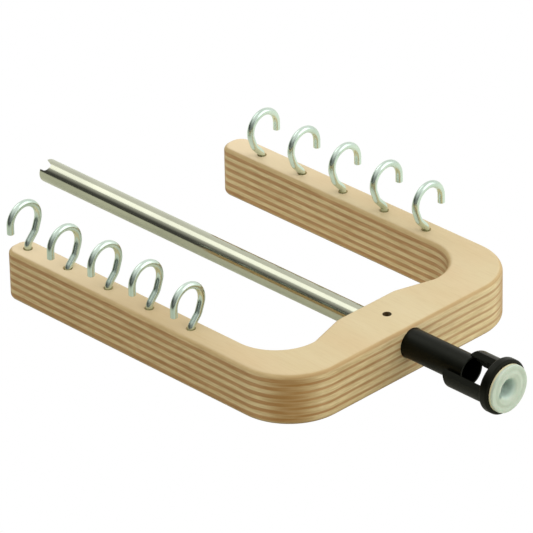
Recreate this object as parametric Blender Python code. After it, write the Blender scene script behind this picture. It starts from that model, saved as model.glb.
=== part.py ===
"""Flyer of a spinning wheel.

A plywood yoke carries a fixed steel shaft for the bobbin, two rows of screw hooks that guide the
yarn, and a black orifice tube whose caged mouth holds a white reducer bushing.

Frame: X runs along the shaft and points out of the orifice, Y runs across the arms, Z runs up
through the plywood. The origin lies under the middle of the whole part, level with the yoke's
underside. Lengths below are in millimetres and are turned into metres when a mesh is made.
"""
import math

import bmesh
import bpy
from mathutils import Matrix, Vector

MM = 0.001
FIT_GAP = 0.3               # clearance that touching pieces keep
END_CHAMFER = 0.4           # on the shaft and the back of the orifice tube
OVERSHOOT = 5.0             # how far a cutter runs past the surface it opens
JOIN_OVERLAP = 0.2          # how far one part of the moulding runs into the next

# Yoke
PLY_THICKNESS = 18.0
FRONT_X = 63.3              # the yoke's front face
ARM_END_X = FRONT_X - 131.0
YOKE_WIDTH = 108.5
ARM_WIDTH = 10.8
BRIDGE_DEPTH = 16.4         # front face to the inside of the yoke, beside the boss
BOSS_DEPTH = 20.6           # the same, at the boss that holds the shaft
BOSS_HALF_WIDTH = 12.8
BOSS_RUNOUT = 27.2          # half width at which the boss has died away
BOSS_CORNER_R = 8.0
RUNOUT_R = 4.0
OUTER_CORNER_R = 20.0
INNER_CORNER_R = 15.5
ARM_TIP_R = 4.6
EDGE_ROUND = 1.8
EDGE_STEPS = 3

# Shaft line
AXIS_Z = 11.8
SHAFT_R = 4.0
SHAFT_TIP_X = FRONT_X - 168.5
NOTCH_WIDTH = 4.0
NOTCH_DEPTH = 3.5
NOTCH_ANGLE = math.radians(122)     # direction of the notch across the shaft, from +Y to +Z
SOCKET_DEPTH = 8.3                  # counterbore that takes the back of the orifice tube
LOCK_PIN_X = FRONT_X - 10.8
LOCK_PIN_R = 1.2
LOCK_PIN_Z = (3.0, 16.0)
LOCK_PIN_CHAMFER = 0.3

# Orifice tube, cage and ring
TUBE_R = 5.0
TUBE_END_X = FRONT_X + 25.6
CAGE_R = 7.5
CAGE_HALF_THICKNESS = 4.9
WINDOW_HALF_WIDTH = 3.65
LEG_ANGLE = math.radians(42)        # direction of the upper leg, from +Y to +Z
UPPER_LEG_X = FRONT_X + 24.9
LOWER_LEG_X = FRONT_X + 19.8
RING_X = (FRONT_X + 36.9, FRONT_X + 40.3)
RING_R = 9.2
RING_BORE_R = 6.2
RING_EDGE = 0.8

# Reducer bushing
BUSHING_FRONT_X = FRONT_X + 41.9
FLANGE_R = 8.0
FLANGE_EDGE = 0.3
DISH_R = 6.6
FUNNEL_R = 4.2
FUNNEL_DEPTH = 1.8
DISH_DEPTH = 0.4
BORE_R = 2.9
FUNNEL_STEPS = 4
BARREL_RECESS = 0.5         # the barrel stops this far short of the ring's back
COLLAR_R = 3.35             # thin collar that reaches back between the legs
COLLAR_BACK_X = FRONT_X + 35.7

# Hooks
HOOK_COUNT = 5
HOOK_PITCH = 18.9
HOOK_ROW_Y = 48.7
FIRST_HOOK_X = FRONT_X - 125.0      # first hook of the right arm; the left row is half a pitch on
WIRE_R = 1.2
WIRE_SIDES = 10
LOOP_R = 6.05
LOOP_CENTRE = (1.05, 10.95)         # out from the shank, and up from the wood
LOOP_START = math.radians(-160)     # where the leaning shank meets the loop, from outward to up
LOOP_END = math.radians(0)          # where the loop turns straight down to its open tip
TIP_LENGTH = 2.7                    # straight wire after the loop
LEAN = math.radians(47)             # slope of the leaning shank above the wood
LEAN_START_Z = 1.9
BASE_BEND_R = 3.0
KNEE_BEND_R = 4.0
BEND_STEP = math.radians(16)
SHANK_DEPTH = 8.5
SINK_RIGHT = (0.2, 2.0, 1.0, 0.7, 1.4)      # how much deeper each hook is screwed in
SINK_LEFT = (1.4, 1.4, 0.7, 0.4, 1.1)
PILOT_R = WIRE_R + FIT_GAP
COUNTERSINK_R = 2.1


def material(name, colour, roughness, metallic=0.0):
    """Return a Principled material."""
    result = bpy.data.materials.new(name)
    result.use_nodes = True
    shader = result.node_tree.nodes["Principled BSDF"]
    shader.inputs["Base Color"].default_value = (*colour, 1.0)
    shader.inputs["Roughness"].default_value = roughness
    shader.inputs["Metallic"].default_value = metallic
    return result


def finish(name, mesh_in_mm, look=None, location=(0.0, 0.0, 0.0)):
    """Turn a bmesh in millimetres into an object in metres, placed at location (mm)."""
    bmesh.ops.recalc_face_normals(mesh_in_mm, faces=mesh_in_mm.faces)
    bmesh.ops.scale(mesh_in_mm, vec=(MM, MM, MM), verts=mesh_in_mm.verts)
    mesh = bpy.data.meshes.new(name)
    mesh_in_mm.to_mesh(mesh)
    mesh_in_mm.free()
    mesh.shade_smooth()
    mesh.set_sharp_from_angle(angle=math.radians(35))
    if look:
        mesh.materials.append(look)
    thing = bpy.data.objects.new(name, mesh)
    thing.location = Vector(location) * MM
    bpy.context.scene.collection.objects.link(thing)
    return thing


def use_as_cutter(thing):
    """Keep a cutter out of the model."""
    thing.hide_render = True
    thing.display_type = "WIRE"
    return thing


def combine(target, tool, operation):
    """Cut or join target with tool through a Boolean modifier."""
    modifier = target.modifiers.new(tool.name, "BOOLEAN")
    modifier.operation = operation
    modifier.solver = "EXACT"
    modifier.object = use_as_cutter(tool)


def arc(centre, radius, start, end, steps):
    """Points of an arc from angle start to angle end."""
    angles = [start + (end - start) * step / steps for step in range(steps + 1)]
    return [(centre[0] + radius * math.cos(a), centre[1] + radius * math.sin(a)) for a in angles]


def fillet(before, corner, after, radius, step=math.radians(11)):
    """Points of the arc that rounds one corner of an outline."""
    to_before = (Vector(before) - Vector(corner)).normalized()
    to_after = (Vector(after) - Vector(corner)).normalized()
    half_angle = to_before.angle(to_after) / 2
    middle = (to_before + to_after).normalized()
    centre = Vector(corner) + middle * radius / math.sin(half_angle)
    first = Vector(corner) + to_before * radius / math.tan(half_angle) - centre
    last = Vector(corner) + to_after * radius / math.tan(half_angle) - centre
    turn = math.atan2(first.cross(last), first.dot(last))
    start = math.atan2(first.y, first.x)
    steps = max(1, math.ceil(abs(turn) / step))
    return arc(centre, radius, start, start + turn, steps)


def prism(outline, low, high):
    """Extrude an (x, y) outline along Z from low to high."""
    shape = bmesh.new()
    base = shape.faces.new([shape.verts.new((x, y, low)) for x, y in outline])
    top = bmesh.ops.extrude_face_region(shape, geom=[base], use_keep_orig=True)
    moved = [item for item in top["geom"] if isinstance(item, bmesh.types.BMVert)]
    bmesh.ops.translate(shape, vec=(0, 0, high - low), verts=moved)
    return shape


def bridge(shape, ring, following):
    """Join two rings of vertices with a band of faces."""
    count = len(ring)
    for index in range(count):
        after = (index + 1) % count
        shape.faces.new((ring[index], ring[after], following[after], following[index]))


def lathe(profile, segments, hollow=False):
    """Turn an (axial, radius) profile about X; a hollow profile is a closed loop round a bore."""
    shape = bmesh.new()
    turns = [2 * math.pi * step / segments for step in range(segments)]
    rings = [[shape.verts.new((axial, radius * math.cos(t), radius * math.sin(t))) for t in turns]
             for axial, radius in profile]
    for ring, following in zip(rings, rings[1:]):
        bridge(shape, ring, following)
    if hollow:
        bridge(shape, rings[-1], rings[0])
    else:
        shape.faces.new(rings[0])
        shape.faces.new(rings[-1])
    return shape


def stand_up(shape):
    """Turn a shape made along X so that it stands along Z."""
    bmesh.ops.rotate(shape, matrix=Matrix.Rotation(-math.pi / 2, 3, "Y"), verts=shape.verts)
    return shape


def yoke_corners():
    """Corners of the yoke's outline as (x, y, radius), from the front round the left arm."""
    half = YOKE_WIDTH / 2
    inside = half - ARM_WIDTH
    left = [(FRONT_X, half, OUTER_CORNER_R),
            (ARM_END_X, half, ARM_TIP_R),
            (ARM_END_X, inside, ARM_TIP_R),
            (FRONT_X - BRIDGE_DEPTH, inside, INNER_CORNER_R),
            (FRONT_X - BRIDGE_DEPTH, BOSS_RUNOUT, RUNOUT_R),
            (FRONT_X - BOSS_DEPTH, BOSS_HALF_WIDTH, BOSS_CORNER_R)]
    return left + [(x, -y, radius) for x, y, radius in reversed(left)]


def yoke_outline():
    """The yoke's plan, with its corners rounded."""
    corners = yoke_corners()
    outline = []
    for index, (x, y, radius) in enumerate(corners):
        before = corners[index - 1][:2]
        after = corners[(index + 1) % len(corners)][:2]
        outline += fillet(before, (x, y), after, radius)
    return outline


def inset(outline, distance):
    """Move a counterclockwise outline inwards by distance."""
    result = []
    for index, point in enumerate(outline):
        before = Vector(outline[index - 1])
        after = Vector(outline[(index + 1) % len(outline)])
        run_in = (Vector(point) - before).normalized()
        run_out = (after - Vector(point)).normalized()
        along = (run_in + run_out).normalized()
        reach = distance / along.dot(run_in)
        result.append((point[0] - along.y * reach, point[1] + along.x * reach))
    return result


def make_yoke(look):
    """Plywood yoke, with rounded edges and the holes for the shaft, its pin and the hooks."""
    outline = yoke_outline()
    levels = []
    for step in range(EDGE_STEPS + 1):
        angle = math.pi / 2 * step / EDGE_STEPS
        inward = EDGE_ROUND * (1 - math.sin(angle))
        levels.append((inward, EDGE_ROUND * (1 - math.cos(angle))))
    levels += [(inward, PLY_THICKNESS - height) for inward, height in reversed(levels)]
    shape = bmesh.new()
    rings = [[shape.verts.new((x, y, height)) for x, y in inset(outline, inward)]
             for inward, height in levels]
    for ring, following in zip(rings, rings[1:]):
        bridge(shape, ring, following)
    shape.faces.new(rings[0])
    shape.faces.new(rings[-1])
    yoke = finish("yoke", shape, look)

    shaft_hole = SHAFT_R + FIT_GAP
    socket = TUBE_R + FIT_GAP
    axial = lathe([(-BOSS_DEPTH - OVERSHOOT, shaft_hole), (-SOCKET_DEPTH, shaft_hole),
                   (-SOCKET_DEPTH, socket), (OVERSHOOT, socket)], 48)
    combine(yoke, finish("cut_shaft_hole", axial, location=(FRONT_X, 0, AXIS_Z)), "DIFFERENCE")
    pin_r = LOCK_PIN_R + FIT_GAP
    pin = stand_up(lathe([(LOCK_PIN_Z[0] - FIT_GAP, pin_r), (PLY_THICKNESS + OVERSHOOT, pin_r)], 20))
    combine(yoke, finish("cut_pin_hole", pin, location=(LOCK_PIN_X, 0, 0)), "DIFFERENCE")
    slope = COUNTERSINK_R - PILOT_R
    for name, x, y, sink in hook_places():
        pilot = [(-SHANK_DEPTH - sink - FIT_GAP, PILOT_R), (-slope, PILOT_R),
                 (slope, COUNTERSINK_R + slope)]
        hole = finish("cut_" + name, stand_up(lathe(pilot, 16)), location=(x, y, PLY_THICKNESS))
        combine(yoke, hole, "DIFFERENCE")


def make_shaft(look):
    """Steel shaft, with a round-bottomed notch across its free end and a hole for the lock pin."""
    end_x = FRONT_X - SOCKET_DEPTH
    profile = [(SHAFT_TIP_X, SHAFT_R), (end_x - END_CHAMFER, SHAFT_R), (end_x, SHAFT_R - END_CHAMFER)]
    shaft = finish("shaft", lathe(profile, 40), look, location=(0, 0, AXIS_Z))

    half = NOTCH_WIDTH / 2
    bottom = arc((NOTCH_DEPTH - half, 0), half, -math.pi / 2, math.pi / 2, 12)
    notch = prism([(-OVERSHOOT, half), (-OVERSHOOT, -half)] + bottom, -2 * SHAFT_R, 2 * SHAFT_R)
    turn = Matrix.Rotation(NOTCH_ANGLE - math.pi / 2, 3, "X")
    bmesh.ops.rotate(notch, matrix=turn, verts=notch.verts)
    combine(shaft, finish("cut_notch", notch, location=(SHAFT_TIP_X, 0, AXIS_Z)), "DIFFERENCE")
    pin_r = LOCK_PIN_R + FIT_GAP
    hole = stand_up(lathe([(-2 * SHAFT_R, pin_r), (2 * SHAFT_R, pin_r)], 20))
    combine(shaft, finish("cut_shaft_pin", hole, location=(LOCK_PIN_X, 0, AXIS_Z)), "DIFFERENCE")


def make_lock_pin(look):
    """Steel pin through the yoke and the shaft."""
    low, high = LOCK_PIN_Z
    profile = [(low, LOCK_PIN_R - LOCK_PIN_CHAMFER), (low + LOCK_PIN_CHAMFER, LOCK_PIN_R),
               (high - LOCK_PIN_CHAMFER, LOCK_PIN_R), (high, LOCK_PIN_R - LOCK_PIN_CHAMFER)]
    finish("shaft_lock_pin", stand_up(lathe(profile, 16)), look, location=(LOCK_PIN_X, 0, 0))


def cage_leg(side, start_x):
    """One leg of the cage, on the upper (+1) or lower (-1) side, from start_x to the ring."""
    spread = math.asin(CAGE_HALF_THICKNESS / CAGE_R)
    section = [(WINDOW_HALF_WIDTH, CAGE_HALF_THICKNESS), (WINDOW_HALF_WIDTH, -CAGE_HALF_THICKNESS)]
    section += arc((0, 0), CAGE_R, -spread, spread, 8)
    leg = prism([(side * s, side * t) for s, t in section], start_x, RING_X[0] + JOIN_OVERLAP)
    along_x = Matrix(((0, 0, 1), (1, 0, 0), (0, 1, 0)))
    bmesh.ops.rotate(leg, matrix=along_x, verts=leg.verts)
    bmesh.ops.rotate(leg, matrix=Matrix.Rotation(LEG_ANGLE, 3, "X"), verts=leg.verts)
    return leg


def make_orifice_tube(look):
    """Black tube with a two-legged cage and a ring at its mouth, in one moulding."""
    place = (0, 0, AXIS_Z)
    back_x = FRONT_X - SOCKET_DEPTH + FIT_GAP
    profile = [(back_x, TUBE_R - END_CHAMFER), (back_x + END_CHAMFER, TUBE_R), (TUBE_END_X, TUBE_R)]
    tube = finish("orifice_tube", lathe(profile, 48), look, location=place)
    combine(tube, finish("join_upper_leg", cage_leg(1, UPPER_LEG_X), location=place), "UNION")
    combine(tube, finish("join_lower_leg", cage_leg(-1, LOWER_LEG_X), location=place), "UNION")

    back, front = RING_X
    rim = arc((back + RING_EDGE, RING_R - RING_EDGE), RING_EDGE, math.pi, math.pi / 2, 3)
    rim += arc((front - RING_EDGE, RING_R - RING_EDGE), RING_EDGE, math.pi / 2, 0, 3)
    ring = lathe([(back, RING_BORE_R)] + rim + [(front, RING_BORE_R)], 48, hollow=True)
    combine(tube, finish("join_ring", ring, location=place), "UNION")


def make_bushing(look):
    """White reducer bushing, whose origin sits on the shaft line where it slides out."""
    flange_back = RING_X[1] + FIT_GAP - BUSHING_FRONT_X
    barrel_back = RING_X[0] + BARREL_RECESS - BUSHING_FRONT_X
    barrel_r = RING_BORE_R - FIT_GAP
    collar_back = COLLAR_BACK_X - BUSHING_FRONT_X
    outside = [(collar_back, BORE_R), (collar_back, COLLAR_R), (barrel_back, COLLAR_R),
               (barrel_back, barrel_r), (flange_back, barrel_r), (flange_back, FLANGE_R),
               (-FLANGE_EDGE, FLANGE_R), (0, FLANGE_R - FLANGE_EDGE)]
    dish = [(0, DISH_R), (-DISH_DEPTH, FUNNEL_R)]
    funnel = []
    for step in range(1, FUNNEL_STEPS + 1):
        angle = math.pi / 2 * step / FUNNEL_STEPS
        radius = FUNNEL_R - (FUNNEL_R - BORE_R) * math.sin(angle)
        funnel.append((-DISH_DEPTH - FUNNEL_DEPTH * (1 - math.cos(angle)), radius))
    bushing = lathe(outside + dish + funnel, 40, hollow=True)
    finish("orifice_bushing", bushing, look, location=(BUSHING_FRONT_X, 0, AXIS_Z))


def hook_centreline():
    """Centreline of a hook as (outward, up) from where its shank enters the wood."""
    loop = arc(LOOP_CENTRE, LOOP_R, LOOP_START, LOOP_END - 2 * math.pi, 18)
    start = Vector(loop[0])
    down = Vector((math.sin(LOOP_START), -math.cos(LOOP_START))) * -1
    lean = Vector((-math.cos(LEAN), math.sin(LEAN)))
    base = Vector((0, LEAN_START_Z))
    along = (start - base).cross(down) / lean.cross(down)
    knee = base + lean * along
    foot = (0, -SHANK_DEPTH)
    line = [foot] + fillet(foot, base, knee, BASE_BEND_R, BEND_STEP)
    line += fillet(base, knee, start, KNEE_BEND_R, BEND_STEP) + loop
    end = loop[-1]
    return line + [(end[0], end[1] - TIP_LENGTH)]


def hook_shape():
    """Round wire along the hook's centreline, its shank at the origin and outward along -Y."""
    line = [Vector(point) for point in hook_centreline()]
    shape = bmesh.new()
    rings = []
    for index, point in enumerate(line):
        ahead = line[min(index + 1, len(line) - 1)]
        behind = line[max(index - 1, 0)]
        along = (ahead - behind).normalized()
        normal = Vector((-along.y, along.x))
        ring = []
        for side in range(WIRE_SIDES):
            turn = 2 * math.pi * side / WIRE_SIDES
            offset = point + normal * WIRE_R * math.cos(turn)
            ring.append(shape.verts.new((WIRE_R * math.sin(turn), -offset.x, offset.y)))
        rings.append(ring)
    for ring, following in zip(rings, rings[1:]):
        bridge(shape, ring, following)
    shape.faces.new(rings[0])
    shape.faces.new(rings[-1])
    return shape


def hook_places():
    """Name, place and sink of every hook, numbered from the open end of the arms."""
    places = []
    for index in range(HOOK_COUNT):
        x = FIRST_HOOK_X + index * HOOK_PITCH
        places.append((f"hook_right_{index + 1}", x, -HOOK_ROW_Y, SINK_RIGHT[index]))
        places.append((f"hook_left_{index + 1}", x + HOOK_PITCH / 2, HOOK_ROW_Y, SINK_LEFT[index]))
    return places


def make_hooks(look):
    """Screw hooks, opening outwards on both arms."""
    for name, x, y, sink in hook_places():
        shape = hook_shape()
        if y > 0:
            bmesh.ops.scale(shape, vec=(1, -1, 1), verts=shape.verts)
        finish(name, shape, look, location=(x, y, PLY_THICKNESS - sink))


def main():
    for thing in list(bpy.data.objects):
        bpy.data.objects.remove(thing)
    make_yoke(material("birch_plywood", (0.78, 0.62, 0.42), 0.55))
    make_shaft(material("steel", (0.62, 0.61, 0.58), 0.25, 1.0))
    make_lock_pin(material("pin_steel", (0.45, 0.45, 0.45), 0.35, 1.0))
    make_orifice_tube(material("black_plastic", (0.02, 0.02, 0.02), 0.35))
    make_bushing(material("white_nylon", (0.80, 0.86, 0.83), 0.4))
    make_hooks(material("zinc_wire", (0.72, 0.76, 0.75), 0.22, 1.0))


main()
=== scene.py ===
"""Looks of the spinning wheel flyer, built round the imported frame.

X runs from the arms' ends out through the orifice, Y across the arms and Z up from the yoke's
underside. Sizes are in millimetres, except in the materials and the studio, which use metres.
"""
import math

import bmesh
import bpy
from mathutils import Matrix, Vector


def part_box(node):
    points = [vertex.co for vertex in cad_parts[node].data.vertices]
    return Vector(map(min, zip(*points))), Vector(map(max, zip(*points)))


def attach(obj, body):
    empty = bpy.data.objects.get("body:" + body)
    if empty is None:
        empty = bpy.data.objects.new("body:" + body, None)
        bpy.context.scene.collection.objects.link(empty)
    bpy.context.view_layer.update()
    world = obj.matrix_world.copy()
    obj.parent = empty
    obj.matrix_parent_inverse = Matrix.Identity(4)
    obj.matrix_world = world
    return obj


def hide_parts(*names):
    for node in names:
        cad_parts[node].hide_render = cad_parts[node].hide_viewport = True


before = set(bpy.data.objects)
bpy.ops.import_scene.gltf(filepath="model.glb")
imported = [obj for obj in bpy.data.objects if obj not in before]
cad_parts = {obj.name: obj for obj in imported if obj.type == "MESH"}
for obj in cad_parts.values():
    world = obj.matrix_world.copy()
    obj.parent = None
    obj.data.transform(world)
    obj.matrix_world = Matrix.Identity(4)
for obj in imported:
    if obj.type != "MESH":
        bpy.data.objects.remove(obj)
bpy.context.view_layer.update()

MM = 0.001


def span(node, axis):
    """Lowest and highest coordinate of a node along one axis, in millimetres."""
    low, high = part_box(node)
    return low[axis] / MM, high[axis] / MM


# Fits and edges
FIT_GAP = 0.3               # left under a pin or a shank that ends inside the wood
OVERSHOOT = 5.0             # how far a cutter runs past the surface it opens
JOIN_OVERLAP = 0.2          # how far a leg of the cage runs into the ring
END_CHAMFER = 0.4           # on the shaft and the back of the orifice tube
FINE = 128                  # sides of the large turned pieces

# Yoke
ARM_END_X, FRONT_X = span("yoke", 0)
HALF_WIDTH = span("yoke", 1)[1]
PLY = span("yoke", 2)[1]
ARM_WIDTH = 10.8
BRIDGE_DEPTH = 16.4
BOSS_DEPTH = 20.6
BOSS_HALF_WIDTH = 12.8
BOSS_RUNOUT = 27.2
BOSS_CORNER_R = 8.0
RUNOUT_R = 4.0
OUTER_CORNER_R = 20.0
INNER_CORNER_R = 15.5
ARM_TIP_R = 4.6
EDGE_ROUND = 1.8
EDGE_STEPS = 8
VENEERS = 13

# Shaft line
AXIS_Z = sum(span("shaft", 2)) / 2
SHAFT_R = (span("shaft", 2)[1] - span("shaft", 2)[0]) / 2
SHAFT_TIP_X, SHAFT_END_X = span("shaft", 0)
SHAFT_TIP_ROUND = 0.3
SHAFT_HOLE_GAP = 0.12
NOTCH_WIDTH = 4.0
NOTCH_DEPTH = 3.5
NOTCH_ANGLE = math.radians(122)
PIN_X = sum(span("shaft_lock_pin", 0)) / 2
PIN_R = (span("shaft_lock_pin", 0)[1] - span("shaft_lock_pin", 0)[0]) / 2
PIN_Z = span("shaft_lock_pin", 2)
PIN_CHAMFER = 0.3
PIN_HOLE_GAP = 0.25

# Orifice
TUBE_R = 5.0
TUBE_BACK_X, RING_FRONT_X = span("orifice_tube", 0)
TUBE_END_X = FRONT_X + 25.6
TUBE_BORE_R = 4.3
TUBE_BORE_DEPTH = 12.0
TUBE_SOCKET_DEPTH = 8.0
TUBE_SOCKET_GAP = 0.15
CAGE_R = 7.5
CAGE_HALF_THICKNESS = 4.9
WINDOW_HALF_WIDTH = 3.65
LEG_ANGLE = math.radians(42)
UPPER_LEG_X = FRONT_X + 24.9
UPPER_SHOULDER_X = UPPER_LEG_X + 0.4
LOWER_LEG_X = FRONT_X + 19.8
LEG_SKIN = 0.05             # keeps a leg's shoulder clear of the surface that it meets
RING_BACK_X = RING_FRONT_X - 3.4
RING_R = (span("orifice_tube", 1)[1] - span("orifice_tube", 1)[0]) / 2
RING_BORE_R = 6.2
RING_EDGE = 0.8

# Reducer bushing
BUSHING_BACK_X, BUSHING_FRONT_X = span("orifice_bushing", 0)
FLANGE_R = (span("orifice_bushing", 1)[1] - span("orifice_bushing", 1)[0]) / 2
FLANGE_EDGE = 0.35
BARREL_GAP = 0.1            # between the barrel or flange and the ring
BARREL_RECESS = 0.5         # the barrel stops this far short of the ring's back
BORE_R = 2.9
COLLAR_R = 3.35
FUNNEL_R = 4.3
FUNNEL_DIP = 0.3            # the funnel's mouth lies this far behind the flange's front
FUNNEL_DEPTH = 1.9
FUNNEL_STEPS = 12

# Hooks
HOOK_ROW_Y = 48.7
WIRE_R = 1.2
WIRE_SIDES = 24
LOOP_R = 6.05
LOOP_CENTRE = (1.05, 10.95)
LOOP_START = math.radians(-160)
LOOP_END = 0.0
TIP_LENGTH = 2.7
TIP_CHAMFER = 0.15
LEAN = math.radians(47)
LEAN_START_Z = 1.9
BASE_BEND_R = 3.0
KNEE_BEND_R = 4.0
BEND_STEP = math.radians(6)
SHANK_DEPTH = 8.5
HOLE_R = 1.8

# Places where a tone changes, in metres
PAINTED_LIGHT_FRONT_Y = (-0.03, 0.03)
SHADED_ARM_DIAGONAL = (-0.07, 0.01)     # x + y, over the right arm
SHADED_ARM_X = (-0.07, -0.02)
PAINTED_LIGHT_ARM_X = (-0.06, 0.0)
PIN_HOLE_SHADE_R = (0.0014, 0.0016)
DULL_LEG_HALF_WIDTH = (0.0037, 0.0038)
YELLOW_RIM_R = (0.0078, 0.0080)
SHADE_SPOT_PLACE = (-0.0038, -0.0007)         # beside the bore: along Y, and up from the shaft's line
SHADE_SPOT_R = (0.0006, 0.0016)

# Studio, in metres
FLOOR_BACK = (0.79, 0.81, 0.73)
FLOOR_TONE = (0.62, 0.63, 0.54)
FLOOR_FAR = (0.05, 0.05, 0.045)
FLOOR_LIFT = (-0.05, 0.02)              # where the floor goes from its back to its middle tone
FLOOR_FADE = (0.07, 0.22)               # where it goes on to its far tone, toward the dark side
FLOOR_GLOW = 0.16
FLOOR_HALF_SIZE = 4.0
FLOOR_DROP = 0.0002                     # keeps the floor from coinciding with the yoke's underside
SKY_TINT = (1.0, 0.995, 0.94)
SKY_BRIGHT = 0.92
SKY_DARK = 0.08
DARK_SIDE = (0.0, -1.0, 0.0)
DARK_EDGE = (0.05, 0.45)                # how far a direction goes to the dark side before it darkens
DARK_TOP = (-0.92, -0.27)               # the same, downwards
FRONT_EDGE = (-0.4, 0.5)                # the same, to the front, where the dark is weaker
FRONT_SHADE = 0.80
CAMERA_PLACE = (0.951424, -0.993517, 0.800206)  # from the middle of the yoke's front face
CAMERA_AZIMUTH = math.radians(45.64317)
CAMERA_ELEVATION = math.radians(29.21385)
CAMERA_ROLL = math.radians(-1.18449)
CAMERA_LENS = 341.34                    # millimetres, on a 36 mm sensor


# ---------------------------------------------------------------- mesh helpers

def sharpen(mesh, angle):
    """Smooth shading, with the edges sharper than angle (degrees) kept sharp."""
    mesh.shade_smooth()
    mesh.set_sharp_from_angle(angle=math.radians(angle))


def solid(name, shape):
    """Turn a bmesh in millimetres into an object."""
    bmesh.ops.recalc_face_normals(shape, faces=shape.faces)
    bmesh.ops.scale(shape, vec=(MM, MM, MM), verts=shape.verts)
    mesh = bpy.data.meshes.new(name)
    shape.to_mesh(mesh)
    shape.free()
    sharpen(mesh, 35)
    thing = bpy.data.objects.new(name, mesh)
    bpy.context.scene.collection.objects.link(thing)
    return thing


def piece(name, shape, look, node):
    """Turn a bmesh in millimetres into the visual piece that stands for a CAD node."""
    thing = solid(name, shape)
    thing.data.materials.append(look)
    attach(thing, "bushing" if node == "orifice_bushing" else "flyer")
    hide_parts(node)
    return thing


def boolean(target, tool, operation):
    """Apply a Boolean of target with tool, and remove the tool."""
    modifier = target.modifiers.new("cut", "BOOLEAN")
    modifier.operation = operation
    modifier.solver = "EXACT"
    modifier.object = tool
    bpy.context.view_layer.update()
    evaluated = target.evaluated_get(bpy.context.evaluated_depsgraph_get())
    mesh = bpy.data.meshes.new_from_object(evaluated)
    target.modifiers.remove(modifier)
    old = target.data
    target.data = mesh
    bpy.data.meshes.remove(old)
    bpy.data.objects.remove(tool)


def arc(centre, radius, start, end, steps):
    """Points of an arc from angle start to angle end."""
    angles = [start + (end - start) * step / steps for step in range(steps + 1)]
    return [(centre[0] + radius * math.cos(a), centre[1] + radius * math.sin(a)) for a in angles]


def fillet(before, corner, after, radius, step=math.radians(4)):
    """Points of the arc that rounds one corner of an outline."""
    to_before = (Vector(before) - Vector(corner)).normalized()
    to_after = (Vector(after) - Vector(corner)).normalized()
    half_angle = to_before.angle(to_after) / 2
    middle = (to_before + to_after).normalized()
    centre = Vector(corner) + middle * radius / math.sin(half_angle)
    first = Vector(corner) + to_before * radius / math.tan(half_angle) - centre
    last = Vector(corner) + to_after * radius / math.tan(half_angle) - centre
    turn = math.atan2(first.cross(last), first.dot(last))
    start = math.atan2(first.y, first.x)
    steps = max(2, math.ceil(abs(turn) / step))
    return arc(centre, radius, start, start + turn, steps)


def bridge(shape, ring, following):
    """Join two rings of vertices with a band of faces."""
    count = len(ring)
    for index in range(count):
        after = (index + 1) % count
        shape.faces.new((ring[index], ring[after], following[after], following[index]))


def skin(shape, rings, hollow=False):
    """Join a row of rings, and close its ends with faces or, if hollow, with each other."""
    for ring, following in zip(rings, rings[1:]):
        bridge(shape, ring, following)
    if hollow:
        bridge(shape, rings[-1], rings[0])
    else:
        shape.faces.new(rings[0])
        shape.faces.new(rings[-1])


def lathe(profile, segments, hollow=False, centre=(0.0, 0.0, 0.0)):
    """Turn an (x, radius) profile about the X line through centre."""
    shape = bmesh.new()
    turns = [2 * math.pi * step / segments for step in range(segments)]
    rings = [[shape.verts.new((centre[0] + x, centre[1] + r * math.cos(t), centre[2] + r * math.sin(t)))
              for t in turns] for x, r in profile]
    skin(shape, rings, hollow)
    return shape


def peg(profile, segments, place):
    """Turn a (height, radius) profile about the vertical through place."""
    shape = lathe(profile, segments)
    bmesh.ops.rotate(shape, matrix=Matrix.Rotation(-math.pi / 2, 3, "Y"), verts=shape.verts)
    bmesh.ops.translate(shape, vec=place, verts=shape.verts)
    return shape


def prism(outline, low, high):
    """Extrude an (x, y) outline along Z from low to high."""
    shape = bmesh.new()
    base = shape.faces.new([shape.verts.new((x, y, low)) for x, y in outline])
    top = bmesh.ops.extrude_face_region(shape, geom=[base], use_keep_orig=True)
    moved = [item for item in top["geom"] if isinstance(item, bmesh.types.BMVert)]
    bmesh.ops.translate(shape, vec=(0, 0, high - low), verts=moved)
    return shape


def add_to(shape, other):
    """Copy the faces of other into shape, and free other."""
    copies = {vert: shape.verts.new(vert.co) for vert in other.verts}
    for face in other.faces:
        shape.faces.new([copies[vert] for vert in face.verts])
    other.free()


# ---------------------------------------------------------------- materials

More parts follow.
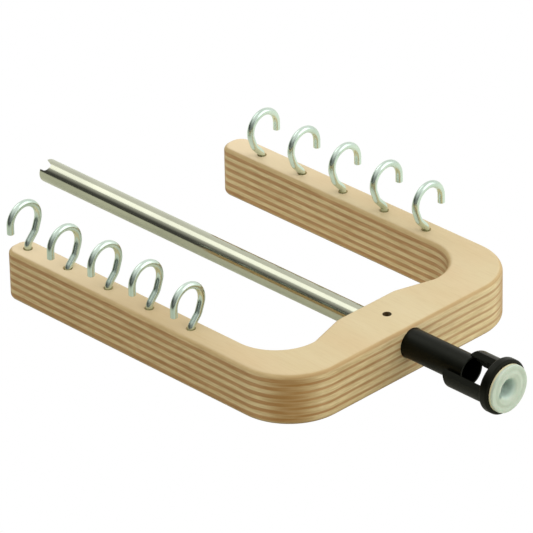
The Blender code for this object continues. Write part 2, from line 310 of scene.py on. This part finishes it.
class Nodes:
    """Short calls that add nodes to a node tree."""

    def __init__(self, tree):
        self.tree = tree

    def node(self, kind, **settings):
        """Add a node, with its own settings."""
        made = self.tree.nodes.new(kind)
        for key, value in settings.items():
            setattr(made, key, value)
        return made

    def link(self, source, target):
        """Link an output to an input."""
        self.tree.links.new(source, target)

    def put(self, target, value):
        """Give a socket a number or a link."""
        if isinstance(value, bpy.types.NodeSocket):
            self.link(value, target)
        else:
            target.default_value = value

    def math(self, operation, first, second=0.0, third=0.0):
        """Calculate with up to three numbers or links."""
        made = self.node("ShaderNodeMath", operation=operation)
        for socket, value in zip(made.inputs, (first, second, third)):
            self.put(socket, value)
        return made.outputs[0]

    def distance(self, first, second):
        """Length of the vector with these two components."""
        squares = [self.math("MULTIPLY", value, value) for value in (first, second)]
        return self.math("SQRT", self.math("ADD", *squares))

    def toward(self, vector, direction):
        """How far a vector goes in a direction."""
        made = self.node("ShaderNodeVectorMath", operation="DOT_PRODUCT")
        made.inputs[1].default_value = Vector(direction).normalized()
        self.link(vector, made.inputs[0])
        return made.outputs["Value"]

    def spread(self, value, low, high, to_low=0.0, to_high=1.0, smooth=False):
        """Map a value from one range to another, without passing its ends."""
        made = self.node("ShaderNodeMapRange")
        if smooth:
            made.interpolation_type = "SMOOTHSTEP"
        for socket, number in zip(made.inputs, (value, low, high, to_low, to_high)):
            self.put(socket, number)
        return made.outputs[0]

    def mix(self, factor, first, second):
        """Mix two colours, given as links or as (red, green, blue)."""
        made = self.node("ShaderNodeMix", data_type="RGBA")
        self.put(made.inputs["Factor"], factor)
        for socket, value in ((made.inputs[6], first), (made.inputs[7], second)):
            self.put(socket, (*value, 1.0) if isinstance(value, tuple) else value)
        return made.outputs[2]

    def show(self, lit, seen, output):
        """Show seen to the camera, and use lit for light and reflections."""
        paths = self.node("ShaderNodeLightPath")
        pick = self.node("ShaderNodeMixShader")
        self.link(paths.outputs["Is Camera Ray"], pick.inputs[0])
        self.link(lit.outputs[0], pick.inputs[1])
        self.link(seen.outputs[0], pick.inputs[2])
        self.link(pick.outputs[0], self.tree.nodes[output].inputs["Surface"])


class Look(Nodes):
    """A Principled material that is built with the calls above."""

    def __init__(self, name):
        self.material = bpy.data.materials.new(name)
        self.material.use_nodes = True
        super().__init__(self.material.node_tree)
        self.shader = self.tree.nodes["Principled BSDF"]
        coordinates = self.node("ShaderNodeTexCoord")
        self.place = coordinates.outputs["Object"]
        self.normal = coordinates.outputs["Normal"]

    def set(self, **values):
        """Set sockets of the shader by name, with _ for a space."""
        for key, value in values.items():
            self.put(self.shader.inputs[key.replace("_", " ")], value)

    def xyz(self, vector):
        """The three components of a vector."""
        made = self.node("ShaderNodeSeparateXYZ")
        self.link(vector, made.inputs[0])
        return made.outputs

    def noise(self, scale, detail=3.0, rough=0.55, distortion=0.0, shift=(0, 0, 0)):
        """Noise with its own scale along X, Y and Z."""
        mapping = self.node("ShaderNodeMapping")
        self.link(self.place, mapping.inputs["Vector"])
        mapping.inputs["Scale"].default_value = scale
        mapping.inputs["Location"].default_value = shift
        made = self.node("ShaderNodeTexNoise")
        self.link(mapping.outputs[0], made.inputs["Vector"])
        made.inputs["Scale"].default_value = 1.0
        made.inputs["Detail"].default_value = detail
        made.inputs["Roughness"].default_value = rough
        made.inputs["Distortion"].default_value = distortion
        return made.outputs["Fac"]

    def bump(self, height, distance, strength):
        """Bump the surface by a height."""
        made = self.node("ShaderNodeBump")
        made.inputs["Strength"].default_value = strength
        made.inputs["Distance"].default_value = distance
        self.link(height, made.inputs["Height"])
        self.link(made.outputs[0], self.shader.inputs["Normal"])


def srgb(red, green, blue):
    """Linear colour of an sRGB triple from 0 to 255."""
    return tuple(c / 255 / 12.92 if c <= 10 else ((c / 255 + 0.055) / 1.055) ** 2.4
                 for c in (red, green, blue))


def veneer_edges(look, z, nx, ny, fine):
    """Light and dark veneers in turn, as the yoke's upright sides show them."""
    # height in veneers, made slightly wavy
    drift = look.spread(look.noise((18, 18, 60), 2), 0.3, 0.7, -0.12, 0.12)
    layer = look.math("MULTIPLY_ADD", z, VENEERS / (PLY * MM), drift)
    # -1 in the middle of odd veneers and 1 in even ones, counted from the underside
    wave = look.math("SINE", look.math("MULTIPLY", layer, -math.pi))
    even = look.spread(wave, -0.45, 0.45, 0.0, 1.0, smooth=True)
    odd = look.spread(wave, -0.95, -0.05, 1.0, 0.0, smooth=True)
    # round the corners every veneer changes over at its own place
    sway = look.spread(look.noise((50, 50, 700), 2, 0.5), 0.3, 0.7, -0.16, 0.16)
    across = look.spread(look.math("MULTIPLY_ADD", ny, ny, sway), 0.1, 0.6)
    along = look.spread(look.math("SUBTRACT", look.math("MULTIPLY", nx, nx), sway), 0.1, 0.6)
    end_grain = look.math("ADD", look.math("MULTIPLY", even, across), look.math("MULTIPLY", odd, along))
    # streaks and stains along the edge of every veneer
    streak = look.spread(look.noise((90, 90, 1500), 4, 0.6), 0.35, 0.65)
    light = look.mix(streak, srgb(218, 194, 143), srgb(234, 213, 166))
    dark = look.mix(streak, srgb(176, 129, 80), srgb(202, 160, 110))
    side = look.mix(end_grain, light, dark)
    side = look.mix(look.spread(fine, 0.35, 0.68, 0.0, 0.26), side, srgb(140, 104, 62))
    blotch = look.noise((70, 70, 500), 3, 0.6, shift=(2, 5, 1))
    return look.mix(look.spread(blotch, 0.5, 0.72, 0.0, 0.34), side, srgb(160, 116, 66)), along


def face_veneer(look, x, y, pores):
    """Pale face veneer with a faint grain along the arms."""
    figure = look.noise((7, 60, 60), 3, 0.5, 0.6)
    face = look.mix(look.spread(figure, 0.3, 0.7), srgb(226, 209, 170), srgb(219, 198, 155))
    blush = look.noise((22, 45, 45), 2, 0.5, shift=(3, 1, 0))
    face = look.mix(look.spread(blush, 0.45, 0.75, 0.0, 0.5), face, srgb(224, 192, 150))
    face = look.mix(look.spread(pores, 0.45, 0.75, 0.0, 0.14), face, srgb(190, 160, 112))
    # painted shade darkens the right arm, less so toward its end, and painted light makes both arms' ends
    # paler
    shade = look.math("MULTIPLY",
                      look.spread(look.math("ADD", x, y), *SHADED_ARM_DIAGONAL, 0.45, 0.0),
                      look.spread(x, *SHADED_ARM_X, 0.35, 1.0))
    face = look.mix(shade, face, srgb(186, 158, 112))
    return look.mix(look.spread(x, *PAINTED_LIGHT_ARM_X, 0.8, 0.0), face, srgb(248, 226, 190))


def birch_look():
    """Birch plywood: pale face veneer, and light and dark veneers in turn round the edge."""
    look = Look("birch_plywood")
    x, y, z = look.xyz(look.place)
    nx, ny, nz = look.xyz(look.normal)
    fine = look.noise((260, 260, 2400), 3, 0.65)
    pores = look.noise((120, 1400, 1400), 2, 0.5)
    side, along = veneer_edges(look, z, nx, ny, fine)
    # painted light makes the front and the arms' ends paler toward the left, and the round corners are
    # darker
    pale = look.math("MULTIPLY", along, look.spread(y, *PAINTED_LIGHT_FRONT_Y, 0.0, 0.14))
    side = look.mix(pale, side, srgb(232, 222, 184))
    oblique = look.math("MULTIPLY", look.math("MULTIPLY", nx, nx), look.math("MULTIPLY", ny, ny))
    side = look.mix(look.spread(oblique, 0.06, 0.24, 0.0, 0.6), side, srgb(152, 108, 40))
    # the rounded edges are worn, and painted shade darkens those that face down
    flat = look.math("ABSOLUTE", nz)
    worn = look.spread(flat, 0.15, 0.6, 0.0, 0.6, smooth=True)
    colour = look.mix(worn, side, srgb(200, 170, 118))
    under = look.spread(nz, -0.9, -0.1, 0.6, 0.0, smooth=True)
    colour = look.mix(under, colour, srgb(112, 84, 44))
    face = face_veneer(look, x, y, pores)
    colour = look.mix(look.spread(flat, 0.80, 0.98, smooth=True), colour, face)
    # painted shade: the wall of the pin's hole is dark, where shade falls in the gap round the pin
    from_pin = look.distance(look.math("SUBTRACT", x, PIN_X * MM), y)
    colour = look.mix(look.spread(from_pin, *PIN_HOLE_SHADE_R), srgb(28, 20, 12), colour)
    look.set(Base_Color=colour, Roughness=look.spread(fine, 0.3, 0.7, 0.42, 0.58), IOR=1.45)
    look.bump(look.math("MULTIPLY_ADD", pores, 0.5, fine), 0.00008, 0.35)
    return look.material


def steel_look(name, colour, low, high):
    """Polished steel with fine drawing lines along X, its roughness between low and high."""
    look = Look(name)
    lines = look.noise((25, 2600, 2600), 3, 0.6)
    smudge = look.noise((60, 60, 60), 3, 0.5)
    tone = look.mix(look.spread(smudge, 0.3, 0.7), colour, tuple(c * 0.86 for c in colour))
    finish = look.math("MULTIPLY_ADD", smudge, 0.5, lines)
    look.set(Base_Color=tone, Metallic=1.0, Roughness=look.spread(finish, 0.45, 1.05, low, high))
    look.bump(lines, 0.00001, 0.08)
    return look.material


def zinc_look():
    """Bright zinc plating with a cool tint."""
    look = Look("zinc_wire")
    broad = look.noise((90, 90, 90), 2, 0.5)
    tone = look.mix(look.spread(broad, 0.35, 0.65), srgb(216, 232, 224), srgb(203, 220, 211))
    look.set(Base_Color=tone, Metallic=1.0, Roughness=look.spread(broad, 0.3, 0.7, 0.19, 0.25))
    return look.material


def plastic_look():
    """Black satin moulding with a very fine texture."""
    look = Look("black_plastic")
    grain = look.noise((1500, 1500, 1500), 3, 0.6)
    broad = look.noise((110, 110, 110), 3, 0.55)
    tone = look.mix(look.spread(broad, 0.3, 0.7), srgb(5, 6, 3), srgb(9, 10, 6))
    # satin on the outside and dull on the legs' insides, between the tube and the ring
    x, y, z = look.xyz(look.place)
    up = look.math("SUBTRACT", z, AXIS_Z * MM)
    sideways = look.math("ADD", look.math("MULTIPLY", y, math.cos(LEG_ANGLE)),
                         look.math("MULTIPLY", up, math.sin(LEG_ANGLE)))
    outer = look.spread(look.math("ABSOLUTE", sideways), *DULL_LEG_HALF_WIDTH)
    tube = look.spread(x, TUBE_END_X * MM, (TUBE_END_X + 0.2) * MM, 1.0, 0.0)
    ring = look.spread(x, (RING_BACK_X - 0.2) * MM, RING_BACK_X * MM)
    outer = look.math("MAXIMUM", look.math("MAXIMUM", outer, tube), ring)
    satin = look.spread(broad, 0.3, 0.7, 0.30, 0.42)
    look.set(Base_Color=tone, Roughness=look.math("MAXIMUM", satin, look.math("SUBTRACT", 1.0, outer)),
             Specular_IOR_Level=0.14, Specular_Tint=(0.95, 1.0, 0.82, 1.0))
    look.bump(grain, 0.00006, 0.5)
    return look.material


def nylon_look():
    """Milky, slightly translucent nylon."""
    look = Look("white_nylon")
    cloud = look.noise((260, 260, 260), 3, 0.5)
    tone = look.mix(look.spread(cloud, 0.3, 0.7), srgb(196, 209, 193), srgb(207, 219, 204))
    x, y, z = look.xyz(look.place)
    up = look.math("SUBTRACT", z, AXIS_Z * MM)
    radius = look.distance(y, up)
    # painted light: the bore and its mouth are paler and a little bluer, against the shade inside them; the
    # flange's rim is paler and yellower
    mouth = look.spread(radius, BORE_R * MM, (BORE_R + 1.0) * MM, smooth=True)
    tone = look.mix(mouth, srgb(208, 226, 217), tone)
    rim = look.math("MULTIPLY", look.spread(radius, *YELLOW_RIM_R),
                    look.spread(x, (RING_FRONT_X + 0.6) * MM, (RING_FRONT_X + 0.9) * MM, 1.0, 0.0))
    tone = look.mix(rim, tone, srgb(240, 232, 190))
    # painted shade: the collar behind the ring is painted as dark as the moulding, where it lies in shade
    # inside the cage
    tone = look.mix(look.spread(x, (RING_BACK_X - 0.1) * MM, RING_BACK_X * MM), srgb(24, 26, 22), tone)
    # a painted shadow: a soft dark spot beside the bore
    spot = look.distance(look.math("SUBTRACT", y, SHADE_SPOT_PLACE[0]), look.math("SUBTRACT", up, SHADE_SPOT_PLACE[1]))
    tone = look.mix(look.spread(spot, *SHADE_SPOT_R, smooth=True), srgb(132, 155, 145), tone)
    look.set(Base_Color=tone, Roughness=0.35, Subsurface_Weight=0.2, Subsurface_Scale=0.001,
             Subsurface_Radius=(0.6, 1.0, 0.9))
    look.bump(cloud, 0.00003, 0.2)
    return look.material


# ---------------------------------------------------------------- yoke

def yoke_outline():
    """The yoke's plan, with its corners rounded, counterclockwise."""
    inside = HALF_WIDTH - ARM_WIDTH
    left = [(FRONT_X, HALF_WIDTH, OUTER_CORNER_R),
            (ARM_END_X, HALF_WIDTH, ARM_TIP_R),
            (ARM_END_X, inside, ARM_TIP_R),
            (FRONT_X - BRIDGE_DEPTH, inside, INNER_CORNER_R),
            (FRONT_X - BRIDGE_DEPTH, BOSS_RUNOUT, RUNOUT_R),
            (FRONT_X - BOSS_DEPTH, BOSS_HALF_WIDTH, BOSS_CORNER_R)]
    corners = left + [(x, -y, radius) for x, y, radius in reversed(left)]
    outline = []
    for index, (x, y, radius) in enumerate(corners):
        before = corners[index - 1][:2]
        after = corners[(index + 1) % len(corners)][:2]
        outline += fillet(before, (x, y), after, radius)
    return outline


def inset(outline, distance):
    """Move a counterclockwise outline inwards by distance."""
    result = []
    for index, point in enumerate(outline):
        before = Vector(outline[index - 1])
        after = Vector(outline[(index + 1) % len(outline)])
        run_in = (Vector(point) - before).normalized()
        run_out = (after - Vector(point)).normalized()
        along = (run_in + run_out).normalized()
        reach = distance / along.dot(run_in)
        result.append((point[0] - along.y * reach, point[1] + along.x * reach))
    return result


def make_yoke(look):
    """The plywood yoke, with the holes for the shaft, the tube, the pin and the hooks."""
    outline = yoke_outline()
    levels = []
    for step in range(EDGE_STEPS + 1):
        angle = math.pi / 2 * step / EDGE_STEPS
        levels.append((EDGE_ROUND * (1 - math.sin(angle)), EDGE_ROUND * (1 - math.cos(angle))))
    levels += [(inward, PLY - height) for inward, height in reversed(levels)]
    shape = bmesh.new()
    skin(shape, [[shape.verts.new((x, y, height)) for x, y in inset(outline, inward)]
                 for inward, height in levels])
    yoke = piece("yoke_board", shape, look, "yoke")
    shaft_hole_r = SHAFT_R + SHAFT_HOLE_GAP
    socket_r = TUBE_R + TUBE_SOCKET_GAP
    socket_x = FRONT_X - TUBE_SOCKET_DEPTH
    through = lathe([(FRONT_X - BOSS_DEPTH - OVERSHOOT, shaft_hole_r), (socket_x, shaft_hole_r),
                     (socket_x, socket_r), (FRONT_X + OVERSHOOT, socket_r)], 96, centre=(0, 0, AXIS_Z))
    boolean(yoke, solid("tool", through), "DIFFERENCE")
    pin_hole_r = PIN_R + PIN_HOLE_GAP
    holes = bmesh.new()
    add_to(holes, peg([(PIN_Z[0] - FIT_GAP, pin_hole_r), (PLY + OVERSHOOT, pin_hole_r)], 40,
                      (PIN_X, 0, 0)))
    for _, x, y, sink in hook_places():
        # a close hole for the shank, with a small crater round its mouth
        add_to(holes, peg([(-SHANK_DEPTH - sink, WIRE_R + 0.03), (-0.4, WIRE_R + 0.06),
                           (-0.05, HOLE_R - 0.2), (0.5, HOLE_R + 0.25)], 32, (x, y, PLY)))
    boolean(yoke, solid("tool", holes), "DIFFERENCE")
    sharpen(yoke.data, 40)


# ---------------------------------------------------------------- shaft and pin

def make_shaft(look):
    """The steel rod, with a round-bottomed notch across its tip."""
    profile = arc((SHAFT_TIP_X + SHAFT_TIP_ROUND, SHAFT_R - SHAFT_TIP_ROUND), SHAFT_TIP_ROUND,
                  math.pi, math.pi / 2, 4)
    profile += [(SHAFT_END_X - END_CHAMFER, SHAFT_R), (SHAFT_END_X, SHAFT_R - END_CHAMFER)]
    shaft = piece("shaft_rod", lathe(profile, FINE, centre=(0, 0, AXIS_Z)), look, "shaft")
    half = NOTCH_WIDTH / 2
    bottom = arc((NOTCH_DEPTH - half, 0), half, -math.pi / 2, math.pi / 2, 32)
    notch = prism([(-half, half), (-half, -half)] + bottom, -2 * SHAFT_R, 2 * SHAFT_R)
    turn = Matrix.Rotation(NOTCH_ANGLE - math.pi / 2, 3, "X")
    bmesh.ops.rotate(notch, matrix=turn, verts=notch.verts)
    bmesh.ops.translate(notch, vec=(SHAFT_TIP_X, 0, AXIS_Z), verts=notch.verts)
    boolean(shaft, solid("tool", notch), "DIFFERENCE")
    sharpen(shaft.data, 30)


def make_pin(look):
    """The pin that locks the shaft in the yoke."""
    low, high = PIN_Z
    profile = [(low, PIN_R - PIN_CHAMFER), (low + PIN_CHAMFER, PIN_R),
               (high - PIN_CHAMFER, PIN_R), (high, PIN_R - PIN_CHAMFER)]
    piece("lock_pin", peg(profile, 40, (PIN_X, 0, 0)), look, "shaft_lock_pin")


# ---------------------------------------------------------------- orifice

def cage_leg(side, start_x, shoulder):
    """One leg of the cage, trimmed to a turned envelope that starts with the shoulder's profile."""
    spread = math.asin(CAGE_HALF_THICKNESS / CAGE_R)
    section = [(WINDOW_HALF_WIDTH, CAGE_HALF_THICKNESS), (WINDOW_HALF_WIDTH, -CAGE_HALF_THICKNESS)]
    section += arc((0, 0), CAGE_R, -spread, spread, 24)
    leg = prism([(side * s, side * t) for s, t in section], start_x, RING_BACK_X + JOIN_OVERLAP)
    along_x = Matrix(((0, 0, 1), (1, 0, 0), (0, 1, 0)))
    bmesh.ops.rotate(leg, matrix=along_x, verts=leg.verts)
    bmesh.ops.rotate(leg, matrix=Matrix.Rotation(LEG_ANGLE, 3, "X"), verts=leg.verts)
    bmesh.ops.translate(leg, vec=(0, 0, AXIS_Z), verts=leg.verts)
    made = solid("tool", leg)
    envelope = [(start_x - 0.5, TUBE_R - 0.6)] + shoulder + [(RING_BACK_X + 1, CAGE_R + 0.2)]
    boolean(made, solid("tool", lathe(envelope, FINE, centre=(0, 0, AXIS_Z))), "INTERSECT")
    return made


def make_orifice(look):
    """The black moulding: the tube, the cage's two legs and the ring."""
    centre = (0, 0, AXIS_Z)
    profile = [(TUBE_BACK_X, TUBE_R - END_CHAMFER), (TUBE_BACK_X + END_CHAMFER, TUBE_R),
               (TUBE_END_X, TUBE_R)]
    tube = piece("orifice_moulding", lathe(profile, FINE, centre=centre), look,
                 "orifice_tube")
    rise = CAGE_R - TUBE_R + LEG_SKIN
    rounded = arc((UPPER_SHOULDER_X + rise, TUBE_R), rise, math.pi, math.pi / 2, 8)
    boolean(tube, cage_leg(1, UPPER_LEG_X, rounded), "UNION")
    chamfered = [(LOWER_LEG_X, TUBE_R), (LOWER_LEG_X + LEG_SKIN, CAGE_R - 0.4),
                 (LOWER_LEG_X + 0.6, CAGE_R + LEG_SKIN)]
    boolean(tube, cage_leg(-1, LOWER_LEG_X, chamfered), "UNION")
    # the tube's bore, flared at its mouth
    bore = lathe([(TUBE_END_X - TUBE_BORE_DEPTH, TUBE_BORE_R), (TUBE_END_X - 0.1, TUBE_BORE_R),
                  (TUBE_END_X + 1, TUBE_BORE_R + 1.1)], 64, centre=centre)
    boolean(tube, solid("tool", bore), "DIFFERENCE")
    edge_r = RING_R - RING_EDGE
    rim = arc((RING_BACK_X + RING_EDGE, edge_r), RING_EDGE, math.pi, math.pi / 2, 10)
    rim += arc((RING_FRONT_X - RING_EDGE, edge_r), RING_EDGE, math.pi / 2, 0, 10)
    ring = lathe([(RING_BACK_X, RING_BORE_R)] + rim + [(RING_FRONT_X, RING_BORE_R)], FINE,
                 hollow=True, centre=centre)
    boolean(tube, solid("tool", ring), "UNION")
    sharpen(tube.data, 30)


def make_bushing(look):
    """The nylon reducer: collar, barrel and flange outside, and the dished face and funnel inside."""
    back = BUSHING_BACK_X - BUSHING_FRONT_X
    barrel_back = RING_BACK_X + BARREL_RECESS - BUSHING_FRONT_X
    flange_back = RING_FRONT_X + BARREL_GAP - BUSHING_FRONT_X
    barrel_r = RING_BORE_R - BARREL_GAP
    outside = [(back, BORE_R), (back, COLLAR_R), (barrel_back, COLLAR_R), (barrel_back, barrel_r),
               (flange_back, barrel_r), (flange_back, FLANGE_R), (-FLANGE_EDGE, FLANGE_R)]
    outside += arc((-FLANGE_EDGE, FLANGE_R - FLANGE_EDGE), FLANGE_EDGE, math.pi / 2, 0, 6)
    # a shallow groove inside the rim, a raised ring, and the funnel down to the bore
    face = [(0, 6.9), (-0.28, 6.4), (-0.28, 6.0), (-0.06, 5.5), (-0.06, 4.9), (-FUNNEL_DIP, 4.4)]
    funnel = []
    for step in range(1, FUNNEL_STEPS + 1):
        angle = math.pi / 2 * step / FUNNEL_STEPS
        funnel.append((-FUNNEL_DIP - FUNNEL_DEPTH * (1 - math.cos(angle)),
                       FUNNEL_R - (FUNNEL_R - BORE_R) * math.sin(angle)))
    shape = lathe(outside + face + funnel, FINE, hollow=True, centre=(BUSHING_FRONT_X, 0, AXIS_Z))
    piece("reducer", shape, look, "orifice_bushing")


# ---------------------------------------------------------------- hooks

def hook_places():
    """Node of every hook, the place of its shank on the wood, and how far it is sunk."""
    places = []
    for index in range(1, 6):
        for side, y in (("right", -HOOK_ROW_Y), ("left", HOOK_ROW_Y)):
            node = f"hook_{side}_{index}"
            sink = PLY + LOOP_CENTRE[1] + LOOP_R + WIRE_R - span(node, 2)[1]
            places.append((node, sum(span(node, 0)) / 2, y, sink))
    return places


def hook_centreline():
    """Centreline of a hook as (outward, up) from where its shank enters the wood."""
    loop = arc(LOOP_CENTRE, LOOP_R, LOOP_START, LOOP_END - 2 * math.pi, 48)
    start = Vector(loop[0])
    down = Vector((math.sin(LOOP_START), -math.cos(LOOP_START))) * -1
    lean = Vector((-math.cos(LEAN), math.sin(LEAN)))
    base = Vector((0, LEAN_START_Z))
    along = (start - base).cross(down) / lean.cross(down)
    knee = base + lean * along
    foot = (0, -SHANK_DEPTH + FIT_GAP)
    line = [foot] + fillet(foot, base, knee, BASE_BEND_R, BEND_STEP)
    line += fillet(base, knee, start, KNEE_BEND_R, BEND_STEP) + loop
    out, up = loop[-1]
    return line + [(out, up - TIP_LENGTH + TIP_CHAMFER), (out, up - TIP_LENGTH)]


def hook_shape():
    """A hook of the right row: round wire along the centreline, its tip chamfered."""
    line = [Vector(point) for point in hook_centreline()]
    shape = bmesh.new()
    rings = []
    for index, point in enumerate(line):
        ahead = line[min(index + 1, len(line) - 1)]
        behind = line[max(index - 1, 0)]
        along = (ahead - behind).normalized()
        normal = Vector((-along.y, along.x))
        radius = WIRE_R - TIP_CHAMFER if point is line[-1] else WIRE_R
        ring = []
        for side in range(WIRE_SIDES):
            turn = 2 * math.pi * side / WIRE_SIDES
            offset = point + normal * radius * math.cos(turn)
            ring.append(shape.verts.new((radius * math.sin(turn), -offset.x, offset.y)))
        rings.append(ring)
    skin(shape, rings)
    return shape


def make_hooks(look):
    """The ten hooks, those of the left row mirrored."""
    for node, x, y, sink in hook_places():
        shape = hook_shape()
        if y > 0:
            bmesh.ops.scale(shape, vec=(1, -1, 1), verts=shape.verts)
        bmesh.ops.translate(shape, vec=(x, y, PLY - sink), verts=shape.verts)
        piece("wire_" + node, shape, look, node)


# ---------------------------------------------------------------- studio

def make_floor():
    """White floor to the camera, and a dimmer grey one to everything it lights or mirrors in."""
    material = bpy.data.materials.new("floor_white")
    material.use_nodes = True
    nodes = Nodes(material.node_tree)
    nodes.tree.nodes.remove(nodes.tree.nodes["Principled BSDF"])
    coordinates = nodes.node("ShaderNodeTexCoord")
    away = nodes.toward(coordinates.outputs["Object"], DARK_SIDE)
    tone = nodes.mix(nodes.spread(away, *FLOOR_FADE, smooth=True), FLOOR_TONE, FLOOR_FAR)
    tone = nodes.mix(nodes.spread(away, *FLOOR_LIFT, smooth=True), FLOOR_BACK, tone)
    lit = nodes.node("ShaderNodeBsdfDiffuse")
    nodes.link(tone, lit.inputs["Color"])
    glow = nodes.node("ShaderNodeEmission")
    glow.inputs["Strength"].default_value = FLOOR_GLOW
    nodes.link(tone, glow.inputs["Color"])
    both = nodes.node("ShaderNodeAddShader")
    nodes.link(lit.outputs[0], both.inputs[0])
    nodes.link(glow.outputs[0], both.inputs[1])
    nodes.show(both, nodes.node("ShaderNodeEmission"), "Material Output")
    shape = bmesh.new()
    bmesh.ops.create_grid(shape, x_segments=1, y_segments=1, size=FLOOR_HALF_SIZE)
    mesh = bpy.data.meshes.new("floor")
    shape.to_mesh(mesh)
    shape.free()
    mesh.materials.append(material)
    floor = bpy.data.objects.new("floor", mesh)
    floor.location.z = -FLOOR_DROP
    bpy.context.scene.collection.objects.link(floor)


def make_sky():
    """White to the camera; otherwise bright above and behind, and dark low on the near side."""
    world = bpy.data.worlds.new("studio")
    bpy.context.scene.world = world
    world.use_nodes = True
    nodes = Nodes(world.node_tree)
    coordinates = nodes.node("ShaderNodeTexCoord")
    sky = coordinates.outputs["Generated"]
    near = nodes.spread(nodes.toward(sky, DARK_SIDE), *DARK_EDGE, smooth=True)
    low = nodes.spread(nodes.toward(sky, (0, 0, -1)), *DARK_TOP, smooth=True)
    front = nodes.spread(nodes.toward(sky, (1, 0, 0)), *FRONT_EDGE, 1.0, FRONT_SHADE, smooth=True)
    shade = nodes.math("MULTIPLY", nodes.math("MULTIPLY", near, low), front)
    lit = nodes.tree.nodes["Background"]
    lit.inputs["Color"].default_value = (*SKY_TINT, 1.0)
    nodes.link(nodes.math("MULTIPLY_ADD", shade, SKY_DARK - SKY_BRIGHT, SKY_BRIGHT), lit.inputs["Strength"])
    seen = nodes.node("ShaderNodeBackground")
    seen.inputs["Color"].default_value = (1.0, 1.0, 1.0, 1.0)
    nodes.show(lit, seen, "World Output")


def make_light(name, place, target, size, power, mirrored=True):
    """A rectangular area light that faces its target, power in watts."""
    light = bpy.data.lights.new(name, "AREA")
    light.shape = "RECTANGLE"
    light.size, light.size_y = size
    light.energy = power
    thing = bpy.data.objects.new(name, light)
    thing.location = place
    thing.rotation_euler = (Vector(target) - Vector(place)).to_track_quat("-Z", "Y").to_euler()
    thing.visible_glossy = mirrored
    bpy.context.scene.collection.objects.link(thing)


def make_studio():
    """Floor, sky and three soft lights."""
    make_floor()
    make_sky()
    make_light("overhead", place=(-0.90, -0.08, 1.13), target=(0, 0, 0), size=(0.84, 0.60), power=1.45)
    make_light("front", place=(0.60, 0.45, 0.50), target=(0.06, 0.02, 0.01), size=(0.8, 0.8), power=1.75)
    make_light("fill", place=(0.25, -1.0, 0.75), target=(0.0, -0.02, 0.0), size=(0.6, 0.6), power=1.9,
               mirrored=False)
    bpy.context.scene.view_settings.view_transform = "Standard"


def make_camera():
    """Camera at the photograph's viewing angle, from in front and to the right of the orifice."""
    data = bpy.data.cameras.new("camera")
    data.lens = CAMERA_LENS
    data.sensor_width = 36.0
    data.clip_start = 0.05
    camera = bpy.data.objects.new("camera", data)
    place = Vector((FRONT_X * MM, 0, PLY * MM / 2)) + Vector(CAMERA_PLACE)
    aim = (Matrix.Rotation(CAMERA_AZIMUTH, 4, "Z")
           @ Matrix.Rotation(math.pi / 2 - CAMERA_ELEVATION, 4, "X")
           @ Matrix.Rotation(CAMERA_ROLL, 4, "Z"))
    camera.matrix_world = Matrix.Translation(place) @ aim
    bpy.context.scene.collection.objects.link(camera)
    bpy.context.scene.camera = camera


def main():
    """Build every piece, then the studio round them."""
    make_yoke(birch_look())
    make_shaft(steel_look("steel", srgb(196, 198, 180), 0.10, 0.18))
    make_pin(steel_look("pin_steel", srgb(110, 108, 98), 0.30, 0.45))
    make_orifice(plastic_look())
    make_bushing(nylon_look())
    make_hooks(zinc_look())
    make_studio()
    make_camera()


main()
